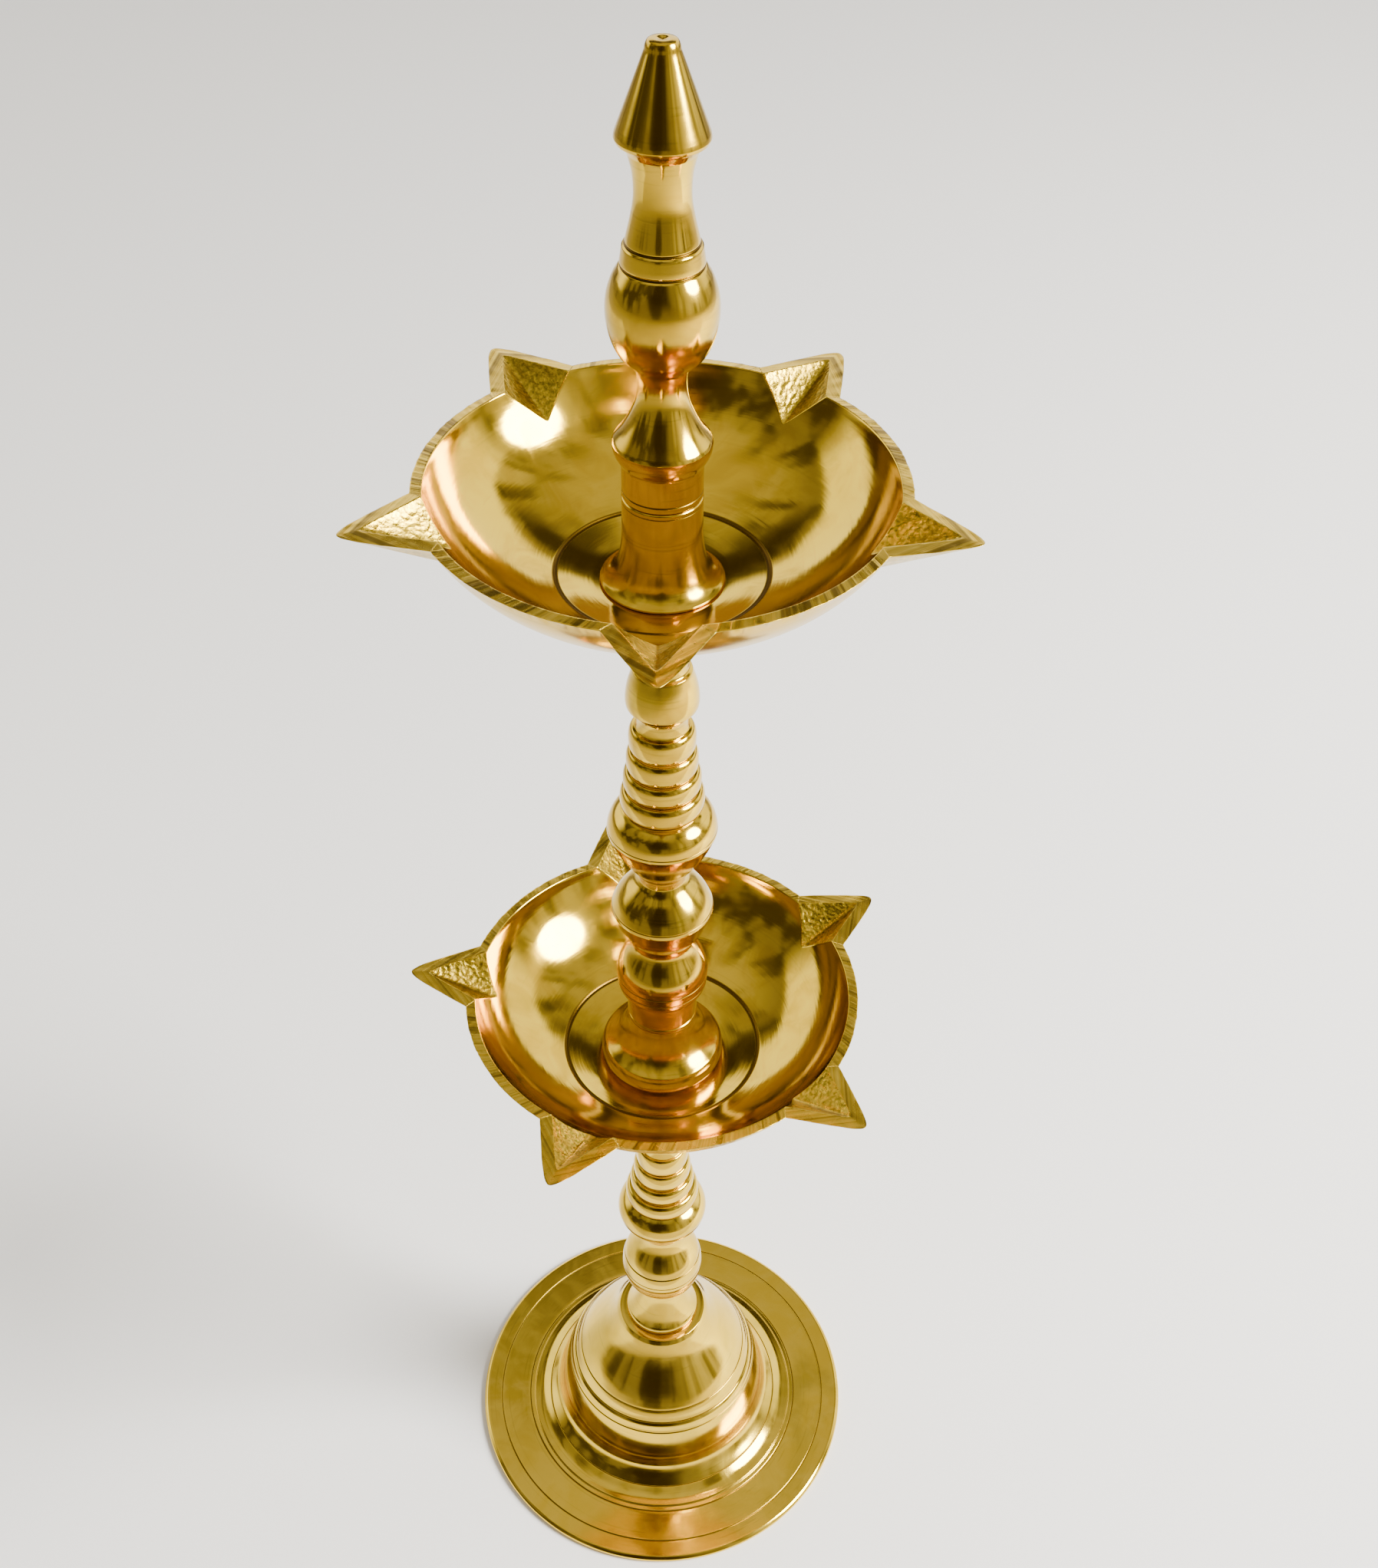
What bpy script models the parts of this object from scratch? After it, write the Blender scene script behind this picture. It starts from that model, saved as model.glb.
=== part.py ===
"""Standing oil lamp (samai) in turned brass: a bell-shaped foot, two stem sections, two bowls
with five spouts each, and a finial, all held together by threaded studs on one upright axis.

Metres, +Z up. The origin is on the axis, at the level the foot stands on.
"""

import math

import bmesh
import bpy
from mathutils import Matrix

MM = 0.001

# Driving dimensions
RIM_RADIUS = 41.0 * MM          # inner edge of both bowls' rims
RIM_LAND = 2.3 * MM             # flat width of a bowl's rim
BOWL_DEPTH = 20.4 * MM          # from the rim down to the floor
BOWL_FLOOR = 2.0 * MM           # thickness of the floor
FLOOR_RADIUS = 12.5 * MM        # the flat middle of the floor
WALL_FLARE = 0.59               # how far the wall leans out for each unit of height at the rim
FOOT_RADIUS = 50.0 * MM
FOOT_HEIGHT = 44.2 * MM
FLANGE_THICKNESS = 2.2 * MM
LOWER_RIM_HEIGHT = 170.9 * MM
UPPER_RIM_HEIGHT = 302.1 * MM
LOWER_COLLAR_TOP = 165.6 * MM
UPPER_COLLAR_TOP = 299.5 * MM
LAMP_HEIGHT = 376.4 * MM

# Spouts, spaced evenly round each bowl from the angle of the first
SPOUT_COUNT = 5
UPPER_SPOUT_ANGLE = 53.0
LOWER_SPOUT_ANGLE = 30.2
SPOUT_START = 34.0 * MM         # where its outline begins, inside the bowl's wall
SPOUT_REACH = 56.4 * MM         # from the axis to its outer tip
SPOUT_HALF_WIDTH = 14.2 * MM    # at its start
SPOUT_DROP = 11.0 * MM          # from the rim down to its keel, at its start
SPOUT_TIP_RADIUS = 2.2 * MM
SPOUT_TIP_HEIGHT = 3.6 * MM
CHANNEL_START = 34.5 * MM
CHANNEL_REACH = 52.6 * MM
CHANNEL_HALF_WIDTH = 10.4 * MM
CHANNEL_DROP = 8.0 * MM
CHANNEL_TIP_RADIUS = 0.7 * MM
CHANNEL_TIP_HEIGHT = 0.7 * MM
SPARE = 0.4 * MM                # height left above the rim, cut level later

# Threaded joints
STUD_RADIUS = 3.0 * MM
HOLE_RADIUS = 3.3 * MM
STUD_GRIP = 13.0 * MM           # length held in a stem section or the finial
HOLE_SPARE = 1.0 * MM           # empty length past the end of a stud
CHAMFER = 0.5 * MM
GASKET_THICKNESS = 0.8 * MM
WASHER_THICKNESS = 1.2 * MM
WASHER_RADIUS = 9.0 * MM
NUT_HEIGHT = 5.0 * MM
NUT_RADIUS = 5.8 * MM           # to the hexagon's corners
FOOT_ROOF = 35.0 * MM           # underside of the bell's top
FOOT_STUD_DROP = 9.0 * MM       # length of the stud below the nut
GAP = 0.3 * MM                  # between pieces that touch

# Facets round a turned piece
FINE = 40
MEDIUM = 24
COARSE = 16

BRASS = (0.80, 0.56, 0.20)
PALE_BRASS = (0.84, 0.66, 0.32)
STEEL = (0.56, 0.57, 0.58)
FIBRE = (0.16, 0.07, 0.04)


class Outline:
    """Half of a turned piece's section: points (radius, height) that run down its outside."""

    def __init__(self, radius, height):
        self.points = [(radius, height)]

    def to(self, radius, height):
        self.points.append((radius, height))
        return self

    def arc(self, radius, height, bulge, steps):
        """A round stretch to a point. A positive bulge swells away from the axis."""
        r0, z0 = self.points[-1]
        chord_r, chord_z = radius - r0, height - z0
        length = math.hypot(chord_r, chord_z)
        out_r, out_z = -chord_z / length, chord_r / length
        for step in range(1, steps + 1):
            t = step / steps
            swell = 4.0 * bulge * t * (1.0 - t)
            self.points.append((r0 + chord_r * t + out_r * swell,
                                z0 + chord_z * t + out_z * swell))
        return self

    def bend(self, mid_radius, mid_height, radius, height, steps):
        """A smooth curve to a point that leans towards a middle point."""
        r0, z0 = self.points[-1]
        for step in range(1, steps + 1):
            t = step / steps
            a, b, c = (1 - t) ** 2, 2 * t * (1 - t), t * t
            self.points.append((a * r0 + b * mid_radius + c * radius,
                                a * z0 + b * mid_height + c * height))
        return self

    def ring(self, radius, root, height, steps):
        """A rounded ring of the given height whose edge reaches radius and returns to root."""
        r0, z0 = self.points[-1]
        half = height / 2.0
        for step in range(1, 2 * steps + 1):
            angle = math.pi * step / (2 * steps)
            start = r0 if step < steps else root
            self.points.append((start + (radius - start) * math.sin(angle),
                                z0 - half + half * math.cos(angle)))
        return self


def clear_scene():
    for old in list(bpy.data.objects):
        bpy.data.objects.remove(old, do_unlink=True)


def new_collection(name):
    made = bpy.data.collections.new(name)
    bpy.context.scene.collection.children.link(made)
    return made


def metal(name, colour, roughness, metallic=1.0):
    made = bpy.data.materials.new(name)
    made.use_nodes = True
    shader = made.node_tree.nodes["Principled BSDF"]
    shader.inputs["Base Color"].default_value = (*colour, 1.0)
    shader.inputs["Roughness"].default_value = roughness
    shader.inputs["Metallic"].default_value = metallic
    return made


def add_object(name, mesh, collection, material=None):
    made = bpy.data.objects.new(name, mesh)
    collection.objects.link(made)
    if material is not None:
        mesh.materials.append(material)
    return made


def turned(name, outline, collection, material=None, facets=MEDIUM, closed=False):
    """A turned piece: its outline with a Screw modifier once round the axis."""
    points = outline.points
    mesh = bpy.data.meshes.new(name)
    edges = [(i, i + 1) for i in range(len(points) - 1)]
    if closed:
        edges.append((len(points) - 1, 0))
    mesh.from_pydata([(r, 0.0, z) for r, z in points], edges, [])
    made = add_object(name, mesh, collection, material)
    screw = made.modifiers.new("turning", "SCREW")
    screw.axis = "Z"
    screw.angle = math.tau
    screw.steps = facets
    screw.render_steps = facets
    screw.use_merge_vertices = True
    screw.merge_threshold = 0.00001
    screw.use_smooth_shade = True
    return made


def bored(name, outline, hole, collection, material, facets=MEDIUM):
    """A turned ring or tube: the outline of its outside, closed by a straight hole."""
    top = outline.points[0][1]
    bottom = outline.points[-1][1]
    outline.to(hole, bottom)
    outline.to(hole, top)
    return turned(name, outline, collection, material, facets, closed=True)


def hull(name, corners, collection):
    """A convex solid round a few corners, used for a spout and for its channel."""
    mesh = bpy.data.meshes.new(name)
    solid = bmesh.new()
    for corner in corners:
        solid.verts.new(corner)
    bmesh.ops.convex_hull(solid, input=solid.verts)
    bmesh.ops.dissolve_limit(solid, angle_limit=0.001, verts=solid.verts, edges=solid.edges)
    bmesh.ops.recalc_face_normals(solid, faces=solid.faces)
    solid.to_mesh(mesh)
    solid.free()
    return add_object(name, mesh, collection)


def hide_guide(guide):
    guide.hide_render = True
    guide.display_type = "WIRE"


def combine(target, other, operation):
    step = target.modifiers.new(f"{operation.lower()} {other.name}", "BOOLEAN")
    step.operation = operation
    step.solver = "EXACT"
    step.object = other
    hide_guide(other)


def stud(name, bottom, top, collection, material):
    rod = Outline(0.0, top)
    rod.to(STUD_RADIUS - CHAMFER, top)
    rod.to(STUD_RADIUS, top - CHAMFER)
    rod.to(STUD_RADIUS, bottom + CHAMFER)
    rod.to(STUD_RADIUS - CHAMFER, bottom)
    rod.to(0.0, bottom)
    return turned(name, rod, collection, material, COARSE)


def spout_corners(start, reach, half_width, drop, tip_radius, tip_height):
    """Corners of a V-shaped trough along +X: a flat top with a rounded tip, and a keel below."""
    widen = (drop + SPARE) / drop
    centre = reach - tip_radius
    corners = [(start, -half_width * widen, SPARE), (start, half_width * widen, SPARE)]
    corners.append((start, 0.0, -drop))
    for step in range(5):
        angle = math.radians(-60.0 + 30.0 * step)
        across = tip_radius * math.sin(angle)
        along = tip_radius * math.cos(angle)
        corners.append((centre + along, across, SPARE))
        corners.append((centre - tip_height + along, 0.6 * across, -tip_height))
    return corners


def add_bowl(name, rim, first_angle, parts, cutters, material):
    """A bowl: a turned body with five V-shaped spouts, cut level at its rim and hollowed out."""
    floor = rim - BOWL_DEPTH
    over = 3.0 * MM
    outer_radius = RIM_RADIUS + RIM_LAND
    body = Outline(0.0, rim + over)
    body.to(outer_radius, rim + over)
    body.to(outer_radius, rim - 1.0 * MM)
    body.bend(outer_radius - 9.7 * MM, rim - 16.0 * MM, FLOOR_RADIUS + 7.5 * MM,
              floor - BOWL_FLOOR + 2.7 * MM, 7)
    body.to(FLOOR_RADIUS, floor - BOWL_FLOOR + 0.8 * MM)
    body.to(FLOOR_RADIUS - 0.5 * MM, floor - BOWL_FLOOR)
    body.to(0.0, floor - BOWL_FLOOR)
    bowl = turned(name, body, parts, material, FINE)

    cavity = Outline(0.0, rim + 2.0 * over)
    cavity.to(RIM_RADIUS + 2.0 * over * WALL_FLARE, rim + 2.0 * over)
    cavity.to(RIM_RADIUS - 5.6 * MM * WALL_FLARE, rim - 5.6 * MM)
    cavity.bend(RIM_RADIUS * 0.78, rim - 14.1 * MM, FLOOR_RADIUS + 7.5 * MM, floor + 2.3 * MM, 5)
    cavity.to(FLOOR_RADIUS, floor)
    cavity.to(0.0, floor)
    hollow = turned(f"{name}_hollow", cavity, cutters, facets=FINE)

    outside = spout_corners(SPOUT_START, SPOUT_REACH, SPOUT_HALF_WIDTH, SPOUT_DROP,
                            SPOUT_TIP_RADIUS, SPOUT_TIP_HEIGHT)
    channel = spout_corners(CHANNEL_START, CHANNEL_REACH, CHANNEL_HALF_WIDTH, CHANNEL_DROP,
                            CHANNEL_TIP_RADIUS, CHANNEL_TIP_HEIGHT)
    channels = []
    for index in range(SPOUT_COUNT):
        turn = Matrix.Rotation(math.radians(first_angle + 360.0 * index / SPOUT_COUNT), 4, "Z")
        spout = hull(f"{name}_spout_{index + 1}", outside, cutters)
        groove = hull(f"{name}_channel_{index + 1}", channel, cutters)
        for guide in (spout, groove):
            guide.matrix_world = Matrix.Translation((0.0, 0.0, rim)) @ turn
        combine(bowl, spout, "UNION")
        channels.append(groove)

    level = Outline(0.0, rim + 4.0 * over)
    level.to(1.3 * SPOUT_REACH, rim + 4.0 * over)
    level.to(1.3 * SPOUT_REACH, rim)
    level.to(0.0, rim)
    combine(bowl, turned(f"{name}_level", level, cutters, facets=COARSE), "DIFFERENCE")
    combine(bowl, hollow, "DIFFERENCE")
    for groove in channels:
        combine(bowl, groove, "DIFFERENCE")

    hole = Outline(0.0, floor + over)
    hole.to(HOLE_RADIUS, floor + over)
    hole.to(HOLE_RADIUS, floor - 2.0 * over)
    hole.to(0.0, floor - 2.0 * over)
    combine(bowl, turned(f"{name}_hole", hole, cutters, facets=COARSE), "DIFFERENCE")
    return bowl


def start_stem(top):
    """A stem section's upper end: the hole for a stud, then the flared seat under a bowl."""
    stem = Outline(0.0, top - STUD_GRIP - HOLE_SPARE)
    stem.to(HOLE_RADIUS, top - STUD_GRIP - HOLE_SPARE)
    stem.to(HOLE_RADIUS, top)
    stem.to(10.7 * MM, top)
    stem.to(10.7 * MM, top - 1.8 * MM)
    stem.bend(5.6 * MM, top - 2.6 * MM, 5.2 * MM, top - 10.5 * MM, 4)
    stem.to(5.2 * MM, top - 14.5 * MM)
    return stem


def end_stem(stem, bottom):
    """A stem section's lower end, with the hole for the stud below it."""
    stem.to(HOLE_RADIUS, bottom)
    stem.to(HOLE_RADIUS, bottom + STUD_GRIP + HOLE_SPARE)
    stem.to(0.0, bottom + STUD_GRIP + HOLE_SPARE)
    return stem


def upper_stem_outline(top, bottom):
    stem = start_stem(top)
    stem.bend(7.3 * MM, top - 18.0 * MM, 7.1 * MM, bottom + 87.3 * MM, 3)
    stem.to(5.7 * MM, bottom + 86.3 * MM)
    stem.to(5.5 * MM, bottom + 82.4 * MM)
    stem.ring(6.6 * MM, 5.5 * MM, 5.8 * MM, 2)
    stem.ring(7.1 * MM, 6.0 * MM, 5.2 * MM, 2)
    stem.ring(7.8 * MM, 6.6 * MM, 4.9 * MM, 2)
    stem.ring(8.5 * MM, 7.2 * MM, 5.2 * MM, 2)
    stem.bend(10.9 * MM, bottom + 58.6 * MM, 11.2 * MM, bottom + 55.0 * MM, 3)
    stem.bend(6.4 * MM, bottom + 51.0 * MM, 5.0 * MM, bottom + 40.5 * MM, 3)
    stem.bend(9.8 * MM, bottom + 38.0 * MM, 10.7 * MM, bottom + 32.4 * MM, 3)
    stem.bend(7.6 * MM, bottom + 27.0 * MM, 6.2 * MM, bottom + 21.8 * MM, 3)
    stem.bend(9.6 * MM, bottom + 18.8 * MM, 9.8 * MM, bottom + 13.2 * MM, 3)
    stem.bend(9.2 * MM, bottom + 8.2 * MM, 7.6 * MM, bottom + 6.4 * MM, 2)
    stem.to(7.6 * MM, bottom)
    return end_stem(stem, bottom)


def lower_stem_outline(top, bottom):
    stem = start_stem(top)
    stem.bend(7.3 * MM, top - 18.0 * MM, 7.0 * MM, bottom + 77.2 * MM, 3)
    stem.to(5.6 * MM, bottom + 76.2 * MM)
    stem.to(5.3 * MM, bottom + 72.3 * MM)
    stem.ring(6.2 * MM, 5.5 * MM, 6.0 * MM, 2)
    stem.ring(6.9 * MM, 6.1 * MM, 5.8 * MM, 2)
    stem.ring(7.8 * MM, 6.8 * MM, 5.0 * MM, 2)
    stem.ring(8.9 * MM, 7.6 * MM, 5.2 * MM, 2)
    stem.bend(10.8 * MM, bottom + 49.3 * MM, 10.9 * MM, bottom + 46.2 * MM, 3)
    stem.bend(6.4 * MM, bottom + 42.0 * MM, 5.3 * MM, bottom + 34.2 * MM, 3)
    stem.bend(9.7 * MM, bottom + 30.0 * MM, 10.2 * MM, bottom + 21.4 * MM, 3)
    stem.bend(7.2 * MM, bottom + 17.0 * MM, 5.3 * MM, bottom + 11.6 * MM, 3)
    stem.bend(7.8 * MM, bottom + 7.0 * MM, 9.3 * MM, bottom + 0.9 * MM, 3)
    stem.to(9.3 * MM, bottom)
    return end_stem(stem, bottom)


def finial_outline(top, bottom):
    finial = Outline(0.0, top)
    finial.to(2.0 * MM, top)
    finial.arc(2.7 * MM, top - 1.2 * MM, 0.2 * MM, 2)
    finial.to(7.4 * MM, top - 14.2 * MM)
    finial.to(6.6 * MM, top - 15.0 * MM)
    finial.bend(4.5 * MM, top - 19.0 * MM, 4.6 * MM, top - 23.5 * MM, 3)
    finial.bend(5.0 * MM, top - 28.0 * MM, 5.9 * MM, top - 30.6 * MM, 2)
    finial.to(6.8 * MM, top - 34.4 * MM)
    finial.bend(9.2 * MM, top - 37.2 * MM, 9.3 * MM, top - 42.4 * MM, 3)
    finial.bend(9.2 * MM, top - 47.8 * MM, 5.3 * MM, top - 51.5 * MM, 3)
    finial.to(4.2 * MM, top - 53.8 * MM)
    finial.to(4.2 * MM, top - 57.1 * MM)
    finial.bend(5.0 * MM, top - 62.6 * MM, 8.3 * MM, top - 65.9 * MM, 3)
    finial.to(8.3 * MM, top - 68.4 * MM)
    finial.to(7.1 * MM, top - 68.8 * MM)
    finial.to(7.1 * MM, bottom)
    return end_stem(finial, bottom)


def foot_outline():
    """The foot's whole section, down its outside and back up inside the bell."""
    foot = Outline(11.0 * MM, FOOT_HEIGHT)
    foot.bend(20.0 * MM, 36.5 * MM, 23.4 * MM, 24.8 * MM, 5)
    foot.bend(26.6 * MM, 18.5 * MM, 27.1 * MM, 10.0 * MM, 3)
    foot.bend(28.2 * MM, 4.0 * MM, 35.8 * MM, FLANGE_THICKNESS + 0.5 * MM, 4)
    foot.to(FOOT_RADIUS - 0.8 * MM, FLANGE_THICKNESS)
    foot.arc(FOOT_RADIUS - 0.8 * MM, 0.0, 0.8 * MM, 4)
    foot.to(38.0 * MM, 0.0)
    foot.to(33.0 * MM, 0.8 * MM)
    foot.bend(25.8 * MM, 2.0 * MM, 24.6 * MM, 10.0 * MM, 3)
    foot.bend(24.0 * MM, 20.0 * MM, 18.6 * MM, 30.0 * MM, 4)
    foot.to(15.0 * MM, FOOT_ROOF)
    foot.to(HOLE_RADIUS, FOOT_ROOF)
    foot.to(HOLE_RADIUS, FOOT_HEIGHT)
    return foot


def add_nut(name, top, parts, cutters, material):
    mesh = bpy.data.meshes.new(name)
    hexagon = bmesh.new()
    bmesh.ops.create_cone(hexagon, cap_ends=True, segments=6, radius1=NUT_RADIUS,
                          radius2=NUT_RADIUS, depth=NUT_HEIGHT)
    hexagon.to_mesh(mesh)
    hexagon.free()
    nut = add_object(name, mesh, parts, material)
    nut.location.z = top - NUT_HEIGHT / 2.0
    hole = Outline(0.0, top + NUT_HEIGHT)
    hole.to(HOLE_RADIUS, top + NUT_HEIGHT)
    hole.to(HOLE_RADIUS, top - 2.0 * NUT_HEIGHT)
    hole.to(0.0, top - 2.0 * NUT_HEIGHT)
    combine(nut, turned(f"{name}_hole", hole, cutters, facets=COARSE), "DIFFERENCE")
    return nut


def add_foot_joint(parts, cutters, stem_bottom):
    """What clamps the lower stem to the foot, from inside the bell: stud, washer and nut."""
    washer_top = FOOT_ROOF - GAP
    washer = Outline(WASHER_RADIUS, washer_top)
    washer.to(WASHER_RADIUS, washer_top - WASHER_THICKNESS)
    bored("foot_washer", washer, HOLE_RADIUS, parts, metal("washer_steel", STEEL, 0.35), COARSE)
    nut_top = washer_top - WASHER_THICKNESS - GAP
    add_nut("foot_nut", nut_top, parts, cutters, metal("nut_steel", STEEL, 0.3))
    stud("foot_stud", nut_top - NUT_HEIGHT - FOOT_STUD_DROP, stem_bottom + STUD_GRIP,
         parts, metal("stud_steel", STEEL, 0.4))


def add_bowl_joint(level, rim, collar_top, parts):
    """What holds a bowl between two sections: gasket below, stud through it, collar above."""
    floor = rim - BOWL_DEPTH
    gasket_top = floor - BOWL_FLOOR - GAP
    gasket = Outline(9.8 * MM, gasket_top)
    gasket.to(9.8 * MM, gasket_top - GASKET_THICKNESS)
    bored(f"{level}_gasket", gasket, HOLE_RADIUS, parts,
          metal(f"{level}_gasket_fibre", FIBRE, 0.85, 0.0), COARSE)
    seat = gasket_top - GASKET_THICKNESS - GAP
    stud(f"{level}_stud", seat - STUD_GRIP, collar_top + GAP + STUD_GRIP, parts,
         metal(f"{level}_stud_brass", PALE_BRASS, 0.4))
    return seat


def upper_collar_outline(top, bottom):
    collar = Outline(7.1 * MM, top)
    collar.to(7.1 * MM, bottom + 8.2 * MM)
    collar.bend(7.5 * MM, bottom + 2.6 * MM, 11.3 * MM, bottom + 0.5 * MM, 4)
    collar.to(11.3 * MM, bottom)
    return collar


def lower_collar_outline(top, bottom):
    collar = Outline(7.6 * MM, top)
    collar.to(7.6 * MM, bottom + 12.2 * MM)
    collar.bend(8.4 * MM, bottom + 6.4 * MM, 12.7 * MM, bottom + 4.8 * MM, 4)
    collar.bend(13.9 * MM, bottom + 3.6 * MM, 13.3 * MM, bottom, 3)
    return collar


def build_lamp():
    clear_scene()
    parts = new_collection("standing_oil_lamp")
    cutters = new_collection("cutters")

    turned("foot", foot_outline(), parts, metal("foot_brass", PALE_BRASS, 0.16), FINE, closed=True)
    stem_bottom = FOOT_HEIGHT + GAP
    add_foot_joint(parts, cutters, stem_bottom)

    seat = add_bowl_joint("lower", LOWER_RIM_HEIGHT, LOWER_COLLAR_TOP, parts)
    turned("lower_stem", lower_stem_outline(seat, stem_bottom), parts,
           metal("lower_stem_brass", PALE_BRASS, 0.14))
    add_bowl("lower_bowl", LOWER_RIM_HEIGHT, LOWER_SPOUT_ANGLE, parts, cutters,
             metal("lower_bowl_brass", BRASS, 0.18))
    collar_foot = LOWER_RIM_HEIGHT - BOWL_DEPTH + GAP
    bored("lower_collar", lower_collar_outline(LOWER_COLLAR_TOP, collar_foot), HOLE_RADIUS,
          parts, metal("lower_collar_brass", BRASS, 0.2))

    seat = add_bowl_joint("upper", UPPER_RIM_HEIGHT, UPPER_COLLAR_TOP, parts)
    turned("upper_stem", upper_stem_outline(seat, LOWER_COLLAR_TOP + GAP), parts,
           metal("upper_stem_brass", BRASS, 0.15))
    add_bowl("upper_bowl", UPPER_RIM_HEIGHT, UPPER_SPOUT_ANGLE, parts, cutters,
             metal("upper_bowl_brass", BRASS, 0.18))
    collar_foot = UPPER_RIM_HEIGHT - BOWL_DEPTH + GAP
    bored("upper_collar", upper_collar_outline(UPPER_COLLAR_TOP, collar_foot), HOLE_RADIUS,
          parts, metal("upper_collar_brass", BRASS, 0.2))
    turned("finial", finial_outline(LAMP_HEIGHT, UPPER_COLLAR_TOP + GAP), parts,
           metal("finial_brass", BRASS, 0.15))


build_lamp()
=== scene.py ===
import math

import bmesh
import bpy
import numpy as np
from mathutils import Matrix, Vector, noise


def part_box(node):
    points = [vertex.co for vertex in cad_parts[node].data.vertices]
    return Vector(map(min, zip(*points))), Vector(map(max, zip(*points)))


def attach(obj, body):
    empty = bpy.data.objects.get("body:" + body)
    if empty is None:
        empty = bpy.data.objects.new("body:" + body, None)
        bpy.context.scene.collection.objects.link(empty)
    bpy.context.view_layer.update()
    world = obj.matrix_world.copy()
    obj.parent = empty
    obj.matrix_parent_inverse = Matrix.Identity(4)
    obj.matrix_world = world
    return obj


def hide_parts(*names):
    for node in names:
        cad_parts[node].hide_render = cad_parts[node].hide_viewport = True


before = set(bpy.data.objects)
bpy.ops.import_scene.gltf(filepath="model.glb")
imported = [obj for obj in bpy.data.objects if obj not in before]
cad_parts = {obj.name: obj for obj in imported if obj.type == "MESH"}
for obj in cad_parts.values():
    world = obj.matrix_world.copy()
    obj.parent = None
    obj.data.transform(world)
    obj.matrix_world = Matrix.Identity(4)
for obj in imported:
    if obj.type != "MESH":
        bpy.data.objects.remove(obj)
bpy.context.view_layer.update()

mm = 0.001
seam = 0.22    # how far a piece reaches into the hairline gap below it, mm


def baseHeight(node):
    # height of a node's lower end, mm
    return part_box(node)[0].z / mm


def topHeight(node):
    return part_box(node)[1].z / mm


def rounded(path, width, at):
    # points of a path at the lengths asked for, with its corners rounded over a width
    path = np.asarray(path, float)
    step = np.linalg.norm(np.diff(path, axis=0), axis=1)
    keep = np.concatenate(([True], step > 1e-9))
    path = path[keep]
    step = step[step > 1e-9]
    along = np.concatenate(([0.0], np.cumsum(step)))
    area = np.zeros_like(path)
    area[1:] = np.cumsum(0.5 * (path[1:] + path[:-1]) * step[:, None], axis=0)

    def total(s):
        k = np.clip(np.searchsorted(along, s, side="right") - 1, 0, len(step) - 1)
        d = (s - along[k])[:, None]
        slope = (path[k + 1] - path[k]) / step[k][:, None]
        return area[k] + path[k] * d + slope * d * d / 2

    at = np.clip(np.asarray(at, float), 0, along[-1])
    reach = np.minimum(width, np.minimum(at, along[-1] - at))
    reach = np.maximum(reach, 1e-6)
    low = np.clip(at - reach, 0, along[-1])
    high = np.clip(at + reach, 0, along[-1])
    return (total(high) - total(low)) / np.maximum(high - low, 1e-9)[:, None]


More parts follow.
